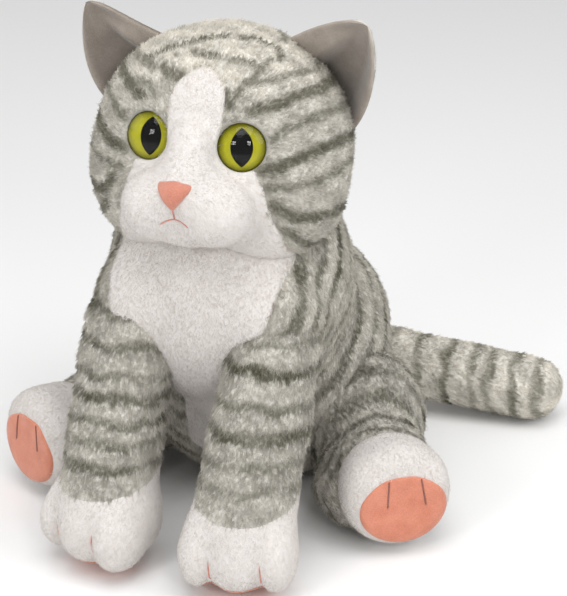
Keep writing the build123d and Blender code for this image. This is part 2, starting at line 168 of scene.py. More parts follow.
def settle(points, shape, proud):
    """Moves points onto a shape's surface, standing proud of it."""
    points = np.asarray(points, float).copy()
    for _ in range(6):
        out, far = slope_of(shape, points)
        points -= out * (far - proud)[:, None]
    return points


def skin(shape, low, high, step):
    """Points and four-sided faces on the surface of a shape."""
    axes = [np.arange(a - 3 * step, b + 3 * step, step) for a, b in zip(low, high)]
    field = np.asarray(shape(np.ix_(*axes)), np.float32)
    field = np.clip(np.broadcast_to(field, [len(a) for a in axes]), -3 * step, 3 * step)
    grid = openvdb.FloatGrid(3 * step)
    grid.copyFromArray(np.ascontiguousarray(field))
    points, faces = grid.convertToQuads(isovalue=0.0)
    points = points.astype(float) * step + [a[0] for a in axes]
    faces = faces.astype(np.int64)
    for _ in range(2):
        out, far = slope_of(shape, points)
        points = points - out * np.clip(far, -step, step)[:, None]
    return points, faces


# ---------------------------------------------------------------- pile
def tufts(points, flow, size, stretch, seed):
    """For each point: the middle of its tuft, a number for the tuft, and how far it is from the edge."""
    table = np.random.default_rng(seed).random((4096, 4))
    cell = np.floor(points / size).astype(np.int64)
    best = np.full(len(points), FAR)
    second = best.copy()
    middle_of, number = np.zeros_like(points), np.zeros(len(points))
    near = range(-2, 3)
    for shift in [(i, j, k) for i in near for j in near for k in near if abs(i) + abs(j) + abs(k) <= 4]:
        c = cell + shift
        key = (c[:, 0] * 73856093 ^ c[:, 1] * 19349663 ^ c[:, 2] * 83492791) & 4095
        centre = (c + table[key, :3]) * size
        d = points - centre
        along = (d * flow).sum(1)
        gap = (d * d).sum(1) - along**2 * (1 - 1 / stretch**2)
        nearer = gap < best
        second = np.where(nearer, best, np.minimum(second, gap))
        best = np.where(nearer, gap, best)
        middle_of[nearer] = centre[nearer]
        number[nearer] = table[key[nearer], 3]
    edge = (np.sqrt(second) - np.sqrt(best)) / size
    return middle_of, number, edge


def srgb(r, g, b):
    c = np.array([r, g, b]) / 255.0
    return np.where(c <= 0.04045, c / 12.92, ((c + 0.055) / 1.055) ** 2.4)


LIGHT, MID, DARK = srgb(222, 218, 209), srgb(196, 192, 183), srgb(119, 116, 100)
WHITE = srgb(230, 225, 221)


def grey_coat(p, stripe, seed):
    """Grey fur with lighter and darker mottling, darkened where stripe is 1."""
    mottle = smooth(-0.6, 0.6, lumps(columns(p), seed, 13, 0.6) + lumps(columns(p), seed + 1, 5, 0.25))
    base = LIGHT * mottle[:, None] + MID * (1 - mottle[:, None])
    stripe = np.clip(stripe, 0, 1)[:, None]
    return base * (1 - stripe) + DARK * stripe


def bands(p, phase, marks, seed):
    """Stripes where phase passes each mark's place.  A mark is (place, width, depth of colour)."""
    wave = lumps(columns(p), seed, 16, 1.5) + lumps(columns(p), seed + 5, 5, 0.6)
    fade = 0.8 + lumps(columns(p), seed + 9, 22, 0.25)
    total = np.zeros(len(p))
    for place, width, depth in marks:
        gap = np.abs(phase + wave - place)
        total = np.maximum(total, depth * fade * (1 - smooth(0.2 * width, 0.75 * width, gap)))
    return total


def stroke(p, line, width, depth, seed):
    """One stripe along a line of points."""
    gap = np.full(len(p), FAR)
    for a, b in zip(line[:-1], line[1:]):
        axis = b - a
        t = np.clip((p - a) @ axis / (axis @ axis), 0, 1)
        gap = np.minimum(gap, ((p - a - t[:, None] * axis) ** 2).sum(1))
    gap = np.sqrt(gap) + lumps(columns(p), seed, 9, 0.7)
    return depth * (1 - smooth(0.2 * width, 0.75 * width, gap))


# ---------------------------------------------------------------- materials
def material(name, slot):
    mat = bpy.data.materials.new(name)
    mat.use_nodes = True
    nodes, links = mat.node_tree.nodes, mat.node_tree.links
    nodes.clear()
    out = nodes.new("ShaderNodeOutputMaterial")
    mat["slot"] = slot
    return mat, nodes, links, out


def node(nodes, kind, **inputs):
    n = nodes.new(kind)
    for key, value in inputs.items():
        key = key.replace("_", " ")
        if key in n.inputs:
            n.inputs[key].default_value = value
        else:
            setattr(n, key.replace(" ", "_"), value)
    return n


def principled(name, slot, **inputs):
    """A material of one principled shader: it, its nodes and links, the shader and the object's coordinates."""
    mat, nodes, links, out = material(name, slot)
    shader = node(nodes, "ShaderNodeBsdfPrincipled", **inputs)
    links.new(shader.outputs["BSDF"], out.inputs["Surface"])
    return mat, nodes, links, shader, nodes.new("ShaderNodeTexCoord")


def noise(nodes, links, place, scale, detail=3.0, roughness=0.6):
    n = node(nodes, "ShaderNodeTexNoise", Scale=scale, Detail=detail, Roughness=roughness)
    links.new(place.outputs["Object"], n.inputs["Vector"])
    return n


def ramp(nodes, links, source, stops):
    n = nodes.new("ShaderNodeValToRGB")
    while len(n.color_ramp.elements) < len(stops):
        n.color_ramp.elements.new(0.5)
    for e, (at, colour) in zip(n.color_ramp.elements, stops):
        e.position = at
        e.color = (*colour, 1)
    links.new(source, n.inputs["Fac"])
    return n


def speckle(nodes, links, place, scale, detail, low, high):
    """Noise between two (place, colour) stops: its colour, and the noise itself for a bump."""
    grain = noise(nodes, links, place, scale, detail).outputs["Fac"]
    return ramp(nodes, links, grain, [low, high]).outputs["Color"], grain


def multiply(nodes, links, a, b):
    n = nodes.new("ShaderNodeMix")
    n.data_type, n.blend_type = "RGBA", "MULTIPLY"
    n.inputs["Factor"].default_value = 1.0
    links.new(a, n.inputs["A"])
    links.new(b, n.inputs["B"])
    return n.outputs["Result"]


def bump(nodes, links, heights, distance, strength, onto):
    n = node(nodes, "ShaderNodeBump", Distance=distance, Strength=strength)
    links.new(heights, n.inputs["Height"])
    links.new(n.outputs["Normal"], onto.inputs["Normal"])
    return n


def plush_skin(name, grain, low):
    """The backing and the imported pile: its colour is in the mesh, with fine strands in the bump."""
    mat, nodes, links, shader, place = principled(
        name, name, Roughness=0.95, Sheen_Weight=0.25, Sheen_Roughness=0.6, Specular_IOR_Level=0.15)
    tint = node(nodes, "ShaderNodeAttribute", attribute_name="tint")
    shade, _ = speckle(nodes, links, place, 900.0 * grain, 4, (0.3, (low, low, low)), (0.7, (1, 1, 1)))
    links.new(multiply(nodes, links, tint.outputs["Color"], shade), shader.inputs["Base Color"])
    strands = noise(nodes, links, place, 1400.0 * grain, 2)
    bump(nodes, links, strands.outputs["Fac"], 0.0012, 0.6, shader)
    return mat


def hair_material(name, gloss, root):
    """Soft matt fibres, lighter towards the tip, that let some light through."""
    mat, nodes, links, out = material(name, name)
    tint = node(nodes, "ShaderNodeAttribute", attribute_name="tint")
    info = nodes.new("ShaderNodeHairInfo")
    tip = ramp(nodes, links, info.outputs["Intercept"],
               [(0.0, (root, root, root)), (0.55, (0.96, 0.96, 0.96)), (1.0, (1, 1, 1))])
    colour = multiply(nodes, links, tint.outputs["Color"], tip.outputs["Color"])
    flat = nodes.new("ShaderNodeBsdfDiffuse")
    through = nodes.new("ShaderNodeBsdfTranslucent")
    shine = node(nodes, "ShaderNodeBsdfAnisotropic", Roughness=0.45)
    for layer in (flat, through, shine):
        links.new(colour, layer.inputs["Color"])
    soft, sheen = nodes.new("ShaderNodeMixShader"), nodes.new("ShaderNodeMixShader")
    soft.inputs[0].default_value, sheen.inputs[0].default_value = 0.42, gloss
    links.new(flat.outputs[0], soft.inputs[1])
    links.new(through.outputs[0], soft.inputs[2])
    links.new(soft.outputs[0], sheen.inputs[1])
    links.new(shine.outputs[0], sheen.inputs[2])
    links.new(sheen.outputs[0], out.inputs["Surface"])
    return mat


GREY_SKIN, WHITE_SKIN = plush_skin("grey_plush_skin", 1.0, 0.8), plush_skin("white_plush_skin", 1.4, 0.93)
GREY_HAIR, WHITE_HAIR = hair_material("grey_plush_pile", 0.06, 0.8), hair_material("white_plush_pile", 0.04, 0.94)


def velour(name, slot, colours, with_painted_shade=False):
    """Short dense velour with a soft sheen and slow changes where the pile is brushed."""
    mat, nodes, links, shader, place = principled(
        name, slot, Roughness=0.85, Sheen_Weight=0.45, Sheen_Roughness=0.4, Specular_IOR_Level=0.2)
    brushed, _ = speckle(nodes, links, place, 90.0, 3, (0.35, colours[0]), (0.65, colours[1]))
    fleck, grain = speckle(nodes, links, place, 1500.0, 3, (0.3, (0.8, 0.8, 0.8)), (0.65, (1, 1, 1)))
    colour = multiply(nodes, links, brushed, fleck)
    # the tint attribute carries painted shade, as on the ear lining
    if with_painted_shade:
        tint = node(nodes, "ShaderNodeAttribute", attribute_name="tint")
        colour = multiply(nodes, links, colour, tint.outputs["Color"])
    links.new(colour, shader.inputs["Base Color"])
    bump(nodes, links, grain, 0.0008, 0.5, shader)
    return mat


def thread(name, slot, colour):
    """Twisted embroidery thread with a satin gloss."""
    mat, nodes, links, shader, place = principled(name, slot, Roughness=0.5, Sheen_Weight=0.3)
    fibre = node(nodes, "ShaderNodeTexWave", Scale=900.0, Distortion=2.0, Detail=2.0)
    fibre.bands_direction = "DIAGONAL"
    links.new(place.outputs["Object"], fibre.inputs["Vector"])
    tone = ramp(nodes, links, fibre.outputs["Fac"], [(0.1, tuple(colour * 0.72)), (0.8, tuple(colour))])
    links.new(tone.outputs["Color"], shader.inputs["Base Color"])
    bump(nodes, links, fibre.outputs["Fac"], 0.0004, 0.5, shader)
    return mat


EAR_VELOUR = velour("ear_velour", "ear_velour", (srgb(158, 148, 138), srgb(174, 163, 153)), with_painted_shade=True)
CORAL_VELOUR = velour("coral_velour", "coral_velour", (srgb(207, 131, 106), srgb(219, 145, 120)))
NOSE_VELOUR = velour("nose_velour", "coral_velour", (srgb(196, 128, 108), srgb(208, 142, 122)))
CORAL_THREAD = thread("coral_thread", "coral_thread", srgb(228, 142, 122))
GREY_THREAD = thread("grey_thread", "grey_thread", srgb(150, 92, 78))


# ---------------------------------------------------------------- objects
def linked(name, data):
    obj = bpy.data.objects.new(name, data)
    bpy.context.scene.collection.objects.link(obj)
    return obj


def mixed_object(name, points, faces, mat):
    """A smooth mesh from lists of faces with any number of corners."""
    mesh = bpy.data.meshes.new(name)
    mesh.from_pydata((points / 1000).tolist(), [], faces)
    mesh.update()
    mesh.shade_smooth()
    mesh.materials.append(mat)
    return linked(name, mesh)


def mesh_object(name, points, faces, mat):
    mesh = bpy.data.meshes.new(name)
    sides = faces.shape[1]
    mesh.vertices.add(len(points))
    mesh.vertices.foreach_set("co", (points / 1000).astype(np.float32).ravel())
    mesh.loops.add(faces.size)
    mesh.loops.foreach_set("vertex_index", faces.astype(np.int32).ravel())
    mesh.polygons.add(len(faces))
    mesh.polygons.foreach_set("loop_start", np.arange(0, faces.size, sides, dtype=np.int32))
    mesh.update(calc_edges=True)
    mesh.validate()
    mesh.shade_smooth()
    mesh.materials.append(mat)
    return linked(name, mesh)


def give_tint(obj, colours):
    """Stores a colour at each point of a mesh."""
    attribute = obj.data.attributes.new("tint", "FLOAT_COLOR", "POINT")
    rgba = np.concatenate([colours, np.ones((len(colours), 1))], 1)
    attribute.data.foreach_set("color", rgba.astype(np.float32).ravel())


def finish_piece(obj, body, stands_for):
    """Ties a piece to its body and hides the CAD nodes it stands for."""
    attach(obj, body)
    if stands_for:
        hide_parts(*stands_for)


def pile(name, body, points, faces, out, flow, tint, length, keep, middle_of, mat, seed,
         per_mm, lift, gather, width, vary):
    """Grows hairs on a skin, leaning along flow and drawn together towards the middle of each tuft."""
    rng = np.random.default_rng(seed)
    corner = points[faces]
    area = 0.5 * np.linalg.norm(np.cross(corner[:, 2] - corner[:, 0], corner[:, 3] - corner[:, 1]), axis=1)
    weight = area * keep[faces].mean(1)
    count = int(weight.sum() * per_mm * FINE)
    pick = faces[rng.choice(len(faces), count, p=weight / weight.sum())]
    u, v = rng.random(count), rng.random(count)
    share = np.stack([(1 - u) * (1 - v), u * (1 - v), u * v, (1 - u) * v], 1)

    def at(values):
        return (values[pick] * share[..., None]).sum(1)

    root, n, f = at(points), unit(at(out)), unit(at(flow))
    reach = (length[pick] * share).sum(1) * rng.uniform(0.75, 1.1, count)
    tone = at(tint) * rng.uniform(1 - vary, 1 + 0.7 * vary, count)[:, None]
    hub = middle_of[pick[np.arange(count), share.argmax(1)]]
    hub = hub - n * ((hub - root) * n).sum(1, keepdims=True)
    pull = hub - root
    far = np.linalg.norm(pull, axis=1, keepdims=True)
    pull = pull * np.minimum(1, 3.5 / np.maximum(far, 1e-6))
    f = unit(f + rng.normal(size=(count, 3)) * 0.22)
    side = np.cross(n, f)
    phase = rng.uniform(0, 6.28, count)[:, None]
    steps = 4
    spots = np.empty((count, steps, 3))
    for i in range(steps):
        t = i / (steps - 1)
        rise = n * lift * (t - 0.35 * t * t) + f * (1 - lift) * (0.6 * t + 0.75 * t * t)
        wave = side * (0.35 * t * np.sin(4.5 * t + phase))
        spots[:, i] = root - n * 0.3 + rise * reach[:, None] + wave + pull * (gather * t**1.5)
    curves = bpy.data.hair_curves.new(name)
    curves.add_curves([steps] * count)
    curves.attributes["position"].data.foreach_set("vector", (spots / 1000).astype(np.float32).ravel())
    radius = curves.attributes.get("radius") or curves.attributes.new("radius", "FLOAT", "POINT")
    taper = np.array([1.0, 0.95, 0.75, 0.25]) * width / 1000
    radius.data.foreach_set("value", np.tile(taper, count).astype(np.float32))
    colour = curves.attributes.new("tint", "FLOAT_COLOR", "CURVE")
    rgba = np.concatenate([np.clip(tone, 0, 1), np.ones((count, 1))], 1)
    colour.data.foreach_set("color", rgba.astype(np.float32).ravel())
    curves.materials.append(mat)
    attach(linked(name, curves), body)


# size and height of the tufts, length of the hairs, and how the hairs grow
GREY_PILE = {"tuft": 3.2, "height": 1.0, "length": 3.8,
             "hairs": {"per_mm": 1.7, "lift": 0.45, "gather": 0.5, "width": 0.12, "vary": 0.09}}
WHITE_PILE = {"tuft": 2.4, "height": 0.28, "length": 2.2,
              "hairs": {"per_mm": 2.3, "lift": 0.4, "gather": 0.08, "width": 0.11, "vary": 0.02}}


def plush(name, body, slot, stands_for, shape, low, high, step, flow_of, coat_of, seed,
          white=False, outer=None, hairs=True, height=None, pile_length=None):
    """One stuffed piece: its skin, the tufts raised on it, its colours and its pile."""
    coat = WHITE_PILE if white else GREY_PILE
    points, faces = skin(shape, low, high, step)
    out, _ = slope_of(shape, points)
    flow = flow_of(points)
    flow = unit(flow - out * (flow * out).sum(1, keepdims=True))
    keep = np.ones(len(points)) if outer is None else outer(points, out)
    size = coat["tuft"]
    middle_of, number, edge = tufts(points, flow, size, 2.1, seed)
    along = ((points - middle_of) * flow).sum(1) / size
    crown = smooth(0.0, 0.55, edge) * (0.55 + 0.6 * number) + 0.3 * np.clip(along, -1.2, 1.2)
    tall = coat["height"] if height is None else height
    points = points + out * ((crown - 0.5) * tall * keep)[:, None]
    tint = coat_of(points, out)
    # painted shade: the hollows between tufts are darker and the tuft crowns lighter
    shade = 0.9 + 0.12 * smooth(-0.1, 0.9, crown) if not white else 0.96 + 0.04 * crown
    tint = np.clip(tint * shade[:, None], 0, 1)
    obj = mesh_object(name, points, faces, WHITE_SKIN if white else GREY_SKIN)
    give_tint(obj, tint)
    finish_piece(obj, body, stands_for)
    if hairs:
        long = coat["length"] if pile_length is None else pile_length
        length = np.full(len(points), long) * (0.85 + 0.3 * number)
        pile(name + "_pile", body, points, faces, out, flow, np.clip(coat_of(points, out), 0, 1), length, keep,
             middle_of, WHITE_HAIR if white else GREY_HAIR, seed + 7, **coat["hairs"])


# ---------------------------------------------------------------- torso
def torso_form(p):
    body = join(ball(p, RUMP, RUMP_RADIUS), ball(p, CHEST, CHEST_RADIUS), 16)
    body = join(body, egg(p, (0, 16, 87), (65, 63, 49)), 16)
    for side, sign in SIDES.items():
        body = join(body, ball(p, SHOULDER[side] + (-3 * sign, 5, 13), 24.5), 14)
    body = join(body, limb(p, TAIL_ROOT + (0, -24, 3), TAIL_ROOT, 18, 13.6), 9)
    body = body + lumps(p, 11, 46, 0.8)
    return both(body, 0.8 - p[2], 9)


BIB_Z = [0, 50, 90, 108, 121, 133, 150, 190]
BIB_X = [26, 21, 19, 19, 27, 43, 47, 50]


def bib_edge(p):
    """Negative on the white panel of the chest and belly."""
    reach = np.interp(p[2], BIB_Z, BIB_X) + lumps(p, 31, 18, 0.8)
    return np.maximum((np.abs(p[0]) - reach) * 0.85, p[1] + 62)


def torso_shape(p):
    form = torso_form(p)
    groove = 0.8 * np.exp(-((bib_edge(p) / 1.6) ** 2))
    return form + groove


def chest_shape(p):
    form = torso_form(p)
    shell = both(form - 0.7, -(form + 5), 1.0)
    return both(shell, bib_edge(p) + 0.3, 3.0)


def torso_coat(p, out):
    x, y, z = columns(p)
    marks = [(-262, 6, 0.6), (-246, 8, 0.95), (-230, 6, 0.85), (-209, 7, 0.9), (-189, 5, 0.6), (-172, 6, 0.8),
             (-152, 5, 0.6), (-137, 5, 0.7), (-120, 8, 0.95), (-98, 6, 0.7), (-78, 7, 0.9), (-56, 6, 0.7),
             (-34, 7, 0.9), (-10, 6, 0.7), (16, 7, 0.8)]
    stripe = bands(p, y - 1.05 * z + 0.10 * np.abs(x), marks, 41)
    spine = 0.5 * (1 - smooth(3, 8, np.abs(x + lumps((x, y, z), 43, 30, 2)))) * smooth(0, 30, y + 0.5 * z - 40)
    coat = grey_coat(p, np.maximum(stripe, spine), 42)
    # painted shade: the coat darkens within 14 mm of the floor
    under = smooth(14, 2, z)[:, None]
    return coat * (1 - 0.3 * under)


def white_coat(p, out):
    shade = 0.985 + lumps(columns(p), 61, 22, 0.02)
    return WHITE * shade[:, None]


def down(p):
    x, y, z = columns(p)
    return np.stack([0.15 * x / 60, 0.35 * (y + 20) / 60, np.full(len(p), -1.0)], 1)


def chest_outside(points, out):
    return smooth(-1.2, -0.2, torso_form(columns(points))) * smooth(0.5, 6, points[:, 2])


def torso_outside(points, out):
    p = columns(points)
    keep = smooth(-4.0, -1.0, bib_edge(p)) * smooth(0.5, 8, points[:, 2])
    return keep * smooth(-9, -5, head_form(p))


def head_form(p):
    form = egg(p, HEAD - (0, 0, 1), (68, 64, 61))
    form = both(form, ball(p, HEAD + (0, 46, 0), 99), 16)
    for sign in (1, -1):
        form = join(form, ball(p, HEAD + (sign * 29, -12, -21), 36.5), 18)
    return form + lumps(p, 12, 42, 0.5)


# ---------------------------------------------------------------- head
EYE = {"left": middle("left_eye_iris") + (1.0, 0, -2.0), "right": middle("right_eye_iris") + (1.0, -0.6, -0.8)}
EYE_RADIUS = 12.3
EYE_YAW = {"left": math.radians(15), "right": math.radians(7)}  # outward
EYE_PITCH = math.radians(14)
FACE_SHIFT = 2.2  # the face is sewn on a touch to the cat's left
EYE_LOOK = {s: heading(k * EYE_YAW[s], EYE_PITCH) for s, k in SIDES.items()}
PUPIL_SHIFT = {"left": 0.0, "right": 1.3}  # towards the cat's left
PUPIL_HALF_WIDTH, PUPIL_HALF_HEIGHT = 5.3, 9.4
DOME_BULGE = 4.3
FACE_Z = [-70, -52, -34, -21, -9, 2, 7, 12, 20, 32, 38.5, 42, 45.5, 48, 60]
FACE_X = [46, 48, 44, 40, 37, 32, 22, 15, 15, 15.5, 14, 11, 7, 0, -40]


def face_edge(p):
    """Negative on the white of the blaze, the muzzle and the jaw."""
    z = p[2] - HEAD[2]
    reach = np.interp(z, FACE_Z, FACE_X) + lumps(p, 32, 14, 0.4)
    across = np.abs(p[0] - FACE_SHIFT * smooth(-62, -30, z) * smooth(70, 50, z))
    return np.maximum((across - reach) * 0.8, p[1] - HEAD[1] + 12)


def sockets(p, form):
    """Draws the fur in round each eye."""
    for side, sign in SIDES.items():
        look = EYE_LOOK[side]
        deep = sum((p[i] - EYE[side][i]) * look[i] for i in range(3))
        across = np.sqrt(np.maximum(sum((p[i] - EYE[side][i]) ** 2 for i in range(3)) - deep**2, 0))
        hole = np.maximum(across - EYE_RADIUS - 0.1, -(deep + 3.0))
        form = cut(form, hole, 2.5)
    return form


def head_shape(p):
    form = head_form(p)
    form = form + 0.8 * np.exp(-((face_edge(p) / 1.5) ** 2))
    return sockets(p, form)


def muzzle_form(p):
    """Two cheeks, the chin and the bridge of the nose."""
    centre = MUZZLE + (FACE_SHIFT, 0, 0)
    form = None
    for sign in (1, -1):
        lobe = egg(p, centre + (sign * 15.0, 0, 0), (19.5, 19.5, 18.5))
        form = lobe if form is None else join(form, lobe, 5)
    bridge = limb(p, centre + (0, 8, 32), centre + (0, -8, 12), 11.5, 10.5)
    form = join(form, bridge, 14)
    chin = egg(p, centre + (0, 3, -11), (15, 14, 10.5))
    form = join(form, chin, 5)
    crease = np.sqrt((p[0] - centre[0]) ** 2 + (p[1] - centre[1] + 21) ** 2) - 2.0
    below = p[2] - (centre[2] + 1)
    return cut(form, np.maximum(crease, below), 4.0)


def face_shape(p):
    head = head_form(p)
    shell = both(head - 0.6, -(head + 6), 1.0)
    shell = both(shell, face_edge(p) + 0.3, 2.5)
    muzzle = cut(muzzle_form(p), head + 6, 2.0)
    return sockets(p, join(shell, muzzle, 5.0))


def on_head(lon, lat, lift=0.0):
    """A point on the head, by degrees round it from the nose and degrees up."""
    d = heading(math.radians(lon), math.radians(lat))
    return HEAD + d / np.linalg.norm(d / (72, 64, 66))


def head_line(*spots):
    """A line over the head through spots of (degrees round, degrees up)."""
    line = []
    for (a, b), (c, d) in zip(spots[:-1], spots[1:]):
        line += [on_head(a + (c - a) * t, b + (d - b) * t) for t in (0.0, 0.25, 0.5, 0.75)]
    return settle(line + [on_head(*spots[-1])], head_form, 0)


CROWN_MARKS = [
    (((-50, 50), (-36, 64), (-15, 73), (25, 77), (69, 71), (80, 60), (67, 52)), 3.7, 0.95),
    (((-26, 58), (-8, 62), (14, 60), (38, 56), (48, 51)), 3.3, 0.75),
    (((60, 54), (43, 48), (30, 43), (27, 38)), 3.5, 0.75),
    (((20, 40), (22, 33)), 6.0, 0.8),
    (((-30, 49), (-18, 46), (-11, 46)), 6.0, 0.8),
    (((-60, 36), (-46, 37), (-33, 39), (-24, 33)), 4.0, 0.55),
]
CHEEK_MARKS = [
    (((36, 43), (52, 44), (71, 43), (95, 40), (130, 44)), 4.5, 0.6),
    (((34, 29), (47, 31), (62, 33), (85, 32), (120, 30)), 6.5, 0.85),
    (((40, 15), (51, 19), (65, 21), (90, 20), (130, 14)), 5.0, 0.6),
    (((36, 3), (45, 3), (54, 6), (67, 8), (88, 7), (125, 0)), 6.5, 0.9),
    (((37, -6), (49, -6), (64, -5), (84, -3), (110, -9)), 4.5, 0.6),
    (((42, -13), (51, -20), (65, -21), (92, -24), (130, -20)), 6.5, 0.85),
    (((49, -26), (65, -36), (86, -37), (120, -36)), 5.5, 0.75),
    (((100, 60), (140, 58), (180, 56)), 5.0, 0.7),
    (((124, 44), (150, 40), (180, 40)), 5.5, 0.75),
    (((120, 30), (150, 24), (180, 23)), 5.5, 0.7),
    (((130, 14), (155, 8), (180, 7)), 6.0, 0.8),
    (((125, 0), (150, -8), (180, -9)), 5.5, 0.7),
    (((130, -20), (155, -26), (180, -27)), 6.0, 0.75),
]


def head_coat(p, out):
    stripe = np.zeros(len(p))
    for spots, width, depth in CROWN_MARKS:
        stripe = np.maximum(stripe, stroke(p, head_line(*spots), width, depth, 51))
    for sign in (1, -1):
        for spots, width, depth in CHEEK_MARKS:
            line = head_line(*[(sign * a, b + (0 if sign > 0 else 3)) for a, b in spots])
            stripe = np.maximum(stripe, stroke(p, line, width, depth, 52 + sign))
    rim = np.full(len(p), FAR)
    for side in SIDES:
        rim = np.minimum(rim, np.linalg.norm(p - EYE[side], axis=1))
    stripe = np.maximum(stripe, 0.45 * (1 - smooth(13.5, 17, rim)))
    # painted light: the fur is made lighter towards the top of the head, as if lit from above
    painted_crown_light = 1 + 0.2 * smooth(22, 52, p[:, 2] - HEAD[2])
    return grey_coat(p, stripe, 45) * painted_crown_light[:, None]


def face_flow(p):
    """Away from the nose, over the head."""
    nose = MUZZLE + (0, -30, 12)
    away = p - nose
    away[:, 2] -= 14
    return unit(away)


def eye_clear(points):
    keep = np.ones(len(points))
    for side in SIDES:
        keep = keep * smooth(EYE_RADIUS + 1.0, EYE_RADIUS + 3.0, np.linalg.norm(points - EYE[side], axis=1))
    return keep


def head_outside(points, out):
    keep = smooth(-4.0, -1.0, face_edge(columns(points))) * eye_clear(points)
    return keep * smooth(-10, -6, torso_form(columns(points)))


def face_outside(points, out):
    head = head_form(columns(points))
    return smooth(-1.6, -0.4, head) * eye_clear(points)


# ---------------------------------------------------------------- legs
CUFF = 53  # height at which the grey sleeve meets the white paw
CUFF_SLOPE = 0.16  # how much higher it sits per millimetre back from the toes


def sleeve_form(side):
    def form(p):
        arm = limb(p, SHOULDER[side], WRIST[side] + (0, 0, 2), 24.2, 26.2)
        return arm + lumps(p, 21 + SIDES[side], 34, 0.9)
    return form


def paw_local(p, side):
    """Across the paw, back from its toes, and up, from the middle of the paw."""
    c, turn = PAW[side], PAW_TURN[side] * SIDES[side]
    x, y = p[0] - c[0], p[1] - c[1]
    return x * math.cos(turn) + y * math.sin(turn), y * math.cos(turn) - x * math.sin(turn), p[2] - c[2]


def from_paw(side, across, back, up):
    turn = PAW_TURN[side] * SIDES[side]
    return PAW[side] + (across * math.cos(turn) - back * math.sin(turn),
                        across * math.sin(turn) + back * math.cos(turn), up)


def paw_form(side):
    def form(p):
        q = paw_local(p, side)
        paw = egg(q, (0, 4, 0), (28, 27, 24.5))
        for shift, ahead, half in ((-20.5, 2.5, 10.5), (0, 0, 15.5), (20.5, 2.5, 10.5)):
            paw = join(paw, egg(q, (shift, -9.5 + ahead, -1.5), (half, 17.5, 18)), 3.0)
        return both(paw, 1.2 - p[2], 8)
    return form


def forepaw_shape(side):
    sleeve, paw = sleeve_form(side), paw_form(side)

    def shape(p):
        top = p[2] - CUFF - CUFF_SLOPE * (p[1] - PAW[side][1])
        ankle = both(sleeve(p) - 0.3, top, 6)
        return join(paw(p), ankle, 8)
    return shape


FORELEG_MARKS = {
    "left": [(141, 5, 0.5), (130, 4, 0.7), (116, 6.5, 1.0), (99, 4.5, 0.75), (84, 7, 1.0), (70, 5, 0.6),
             (58, 6, 0.55)],
    "right": [(136, 6, 0.9), (119, 5.5, 1.0), (103, 4.5, 0.8), (92, 6, 0.95), (80, 4.5, 0.85), (70, 5, 0.6),
              (58, 5, 0.8)],
}


def foreleg_coat(side):
    def coat(p, out):
        phase = p[:, 2] + CUFF_SLOPE * (p[:, 1] + 130)
        return grey_coat(p, bands(p, phase, FORELEG_MARKS[side], 71 + SIDES[side]), 73) * 0.93
    return coat


def along_limb(start, end):
    axis = unit(np.asarray(end) - start)
    return lambda p: np.tile(axis, (len(p), 1)).astype(float)


LOOK = {s: heading(k * SOLE_YAW, SOLE_PITCH) for s, k in SIDES.items()}
ACROSS = {s: unit(np.cross((0, 0, 1), LOOK[s])) for s in SIDES}
RISE = {s: np.cross(LOOK[s], ACROSS[s]) for s in SIDES}
FOOT = {"left": middle("left_hind_foot") + (-2, 0, 1.5), "right": middle("right_hind_foot") + (4, 0, 1.5)}


def foot_local(p, side):
    d = [p[i] - FOOT[side][i] for i in range(3)]
    return [sum(d[i] * axis[i] for i in range(3)) for axis in (ACROSS[side], LOOK[side], RISE[side])]


def leg_form(side):
    hip, foot = HIP[side], FOOT[side]

    def form(p):
        haunch = ball(p, hip, 38)
        leg = limb(p, hip + (0, 0, -8), foot - LOOK[side] * 7 - (0, 0, 3), 29, 27.5)
        leg = join(leg, ball(p, foot + (-21 * SIDES[side], 13, -6.5), 26), 10)
        leg = join(haunch, leg, 8) + lumps(p, 25 + SIDES[side], 36, 1.0)
        a, n, r = foot_local(p, side)
        folds = np.sin(10 * np.arctan2(r, a) + 0.12 * n) * np.exp(-(((n + 17) / 11) ** 2))
        leg = both(leg + 0.7 * folds * smooth(12, 22, np.sqrt(a**2 + r**2)), 1.2 - p[2], 8)
        return both(leg, n + 1.5, 6)
    return form


def foot_form(side):
    def form(p):
        a, n, r = foot_local(p, side)
        q = (a, n, r)
        round_edge = np.sqrt((a / 1.04) ** 2 + (r / 0.99) ** 2) - 28.5
        foot = both(both(round_edge, n - 17.0, 13), -n - 22, 16)
        for shift in (-19, 0, 19):
            foot = join(foot, egg(q, (shift * 0.85, 2, 13 - abs(shift) * 0.35), (11.5, 14.5, 14)), 4.0)
        return both(foot, 1.2 - p[2], 6)
    return form


def sole_form(side):
    def form(p):
        a, n, r = foot_local(p, side)
        a, r = a - 2.0 * SIDES[side], r + 6.0
        oval = (np.sqrt((a / 24.5) ** 2 + (r / 19.5) ** 2) - 1) * 19.5
        surface = foot_form(side)(p)
        return both(both(oval, 3 - n, 1), np.maximum(surface - 0.9, -(surface + 3)), 1.6)
    return form


def hindleg_coat(side):
    hip, foot = HIP[side], FOOT[side]
    axis = unit(foot - hip)

    def coat(p, out):
        phase = (p - hip) @ axis + 0.18 * (p[:, 2] - 40)
        marks = [(-34, 5, 0.8), (-22, 5, 0.7), (-9, 6, 0.9), (5, 5, 0.7), (18, 6, 0.9), (30, 5, 0.7),
                 (41, 5, 0.85), (51, 4, 0.7), (60, 4, 0.7)]
        return grey_coat(p, bands(p, phase, marks, 81 + SIDES[side]), 83) * 0.94
    return coat


# ---------------------------------------------------------------- tail
def tail_base_form(p):
    tail = limb(p, TAIL_ROOT, TAIL_KNEE, 15, 20)
    return both(tail, 0.9 - p[2], 5) + lumps(p, 27, 30, 0.4)


def tail_tip_form(p):
    tail = limb(p, TAIL_KNEE, TAIL_TIP, 20, 19.3)
    return both(tail, 0.9 - p[2], 5) + lumps(p, 28, 30, 0.5)


